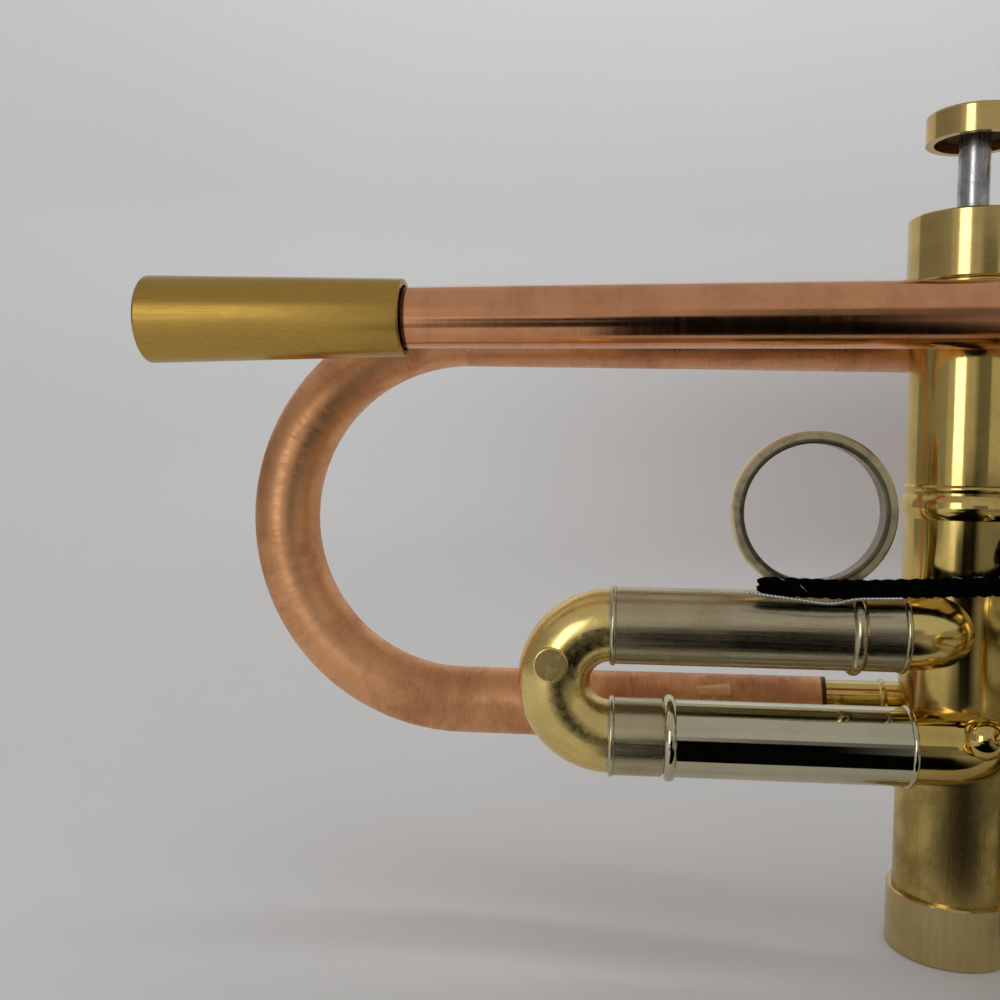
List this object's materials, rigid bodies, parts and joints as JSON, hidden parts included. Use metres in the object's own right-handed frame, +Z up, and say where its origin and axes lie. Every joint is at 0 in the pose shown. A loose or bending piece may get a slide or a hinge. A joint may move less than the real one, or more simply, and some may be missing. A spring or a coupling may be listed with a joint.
{
  "type": "piston valve bugle",
  "caption": "Soprano bugle in trumpet form: copper bell and mouthpipe, brass piston valves that press, nickel-silver slides that pull, thumb ring, water key.",
  "frame": {"origin": "centre of the flat underside of the second valve bottom cap", "axes": "+X towards the bell rim, +Z up along the valves towards the finger buttons, +Y from the mouthpipe side to the bell side"},
  "size_m": [0.4855, 0.1349, 0.1741],
  "materials": {
    "receiver_brass": "satin, lightly handled raw brass",
    "raw_brass": "polished raw brass",
    "cap_brass": "fine turned brass, slightly dull",
    "copper": "polished raw copper",
    "copper_brushed": "raw copper with fine cross scratches",
    "nickel_silver": "polished nickel silver",
    "nickel_dull": "dull unpolished nickel silver",
    "piston_alloy": "lapped nickel alloy",
    "steel": "brushed steel",
    "spring_steel": "bright spring wire",
    "felt": "pressed wool felt",
    "cork": "natural cork",
    "cord": "braided, slightly fuzzy"
  },
  "bodies": {
    "root": {"mouthpiece_receiver": "receiver_brass", "leadpipe": "copper", "bell": "copper", "bell_rim_wire": "raw_brass", "bell_bow": "copper_brushed", "bow_nipple": "raw_brass", "tail_patch": "copper", "solder_saddles": "raw_brass", "braces": "nickel_silver", "finger_hook": "nickel_silver", "valve_link_tubes": "raw_brass", "first_slide_upper_elbow": "raw_brass", "first_slide_lower_elbow": "raw_brass", "first_slide_upper_inner": "nickel_silver", "first_slide_lower_outer": "nickel_silver", "second_slide_outer": "nickel_silver", "third_slide_elbows": "raw_brass", "third_slide_fixed_tubes": "nickel_silver", "tuning_slide_sleeves": "nickel_silver", "keeper_cord": "cord", "valve_casing_1": "raw_brass", "bottom_cap_1": "cap_brass", "top_cap_1": "cap_brass", "valve_spring_1": "spring_steel", "valve_casing_2": "raw_brass", "bottom_cap_2": "cap_brass", "top_cap_2": "cap_brass", "valve_spring_2": "spring_steel", "valve_casing_3": "raw_brass", "bottom_cap_3": "cap_brass", "top_cap_3": "cap_brass", "valve_spring_3": "spring_steel"},
    "first_slide": {"first_slide_upper_sleeve": "nickel_silver", "first_slide_lower_inner": "nickel_silver", "first_slide_crook": "raw_brass", "thumb_ring": "nickel_dull", "binding_wire": "spring_steel"},
    "second_slide": {"second_slide_inner": "nickel_silver", "second_slide_crook": "raw_brass"},
    "third_slide": {"third_slide_moving_tubes": "nickel_silver", "third_slide_crook": "raw_brass", "finger_ring": "nickel_dull"},
    "tuning_slide": {"tuning_slide_inners": "nickel_silver", "tuning_slide_crook": "raw_brass", "water_key_saddle": "raw_brass", "water_key_spring": "spring_steel"},
    "water_key": {"water_key_lever": "nickel_silver", "water_key_cork": "cork"},
    "valve_1": {"piston_1": "piston_alloy", "valve_stem_1": "steel", "finger_button_1": "cap_brass", "valve_felts_1": "felt"},
    "valve_2": {"piston_2": "piston_alloy", "valve_stem_2": "steel", "finger_button_2": "cap_brass", "valve_felts_2": "felt"},
    "valve_3": {"piston_3": "piston_alloy", "valve_stem_3": "steel", "finger_button_3": "cap_brass", "valve_felts_3": "felt"}
  },
  "joints": [
    {"name": "first_slide_pull", "type": "slide", "parent": "root", "child": "first_slide", "axis": [-1, 0, 0], "range_m": [0, 0.02]},
    {"name": "second_slide_pull", "type": "slide", "parent": "root", "child": "second_slide", "axis": [0, -1, 0], "range_m": [0, 0.012]},
    {"name": "third_slide_pull", "type": "slide", "parent": "root", "child": "third_slide", "axis": [1, 0, 0], "range_m": [0, 0.03]},
    {"name": "tuning_slide_pull", "type": "slide", "parent": "root", "child": "tuning_slide", "axis": [1, 0, 0], "range_m": [0, 0.03]},
    {"name": "water_key_hinge", "type": "hinge", "parent": "tuning_slide", "child": "water_key", "pos_m": [0.1489, 0.002, 0.0293], "axis": [0, 1, 0], "range_deg": [0, 14], "stiffness_Nm_per_rad": 0.03, "springref_deg": -28.65},
    {"name": "valve_1_press", "type": "slide", "parent": "root", "child": "valve_1", "axis": [0, 0, -1], "range_m": [0, 0.0125], "stiffness_N_per_m": 120, "springref_m": -0.02, "deforming": ["valve_spring_1"]},
    {"name": "valve_2_press", "type": "slide", "parent": "root", "child": "valve_2", "axis": [0, 0, -1], "range_m": [0, 0.0125], "stiffness_N_per_m": 120, "springref_m": -0.02, "deforming": ["valve_spring_2"]},
    {"name": "valve_3_press", "type": "slide", "parent": "root", "child": "valve_3", "axis": [0, 0, -1], "range_m": [0, 0.0125], "stiffness_N_per_m": 120, "springref_m": -0.02, "deforming": ["valve_spring_3"]}
  ]
}
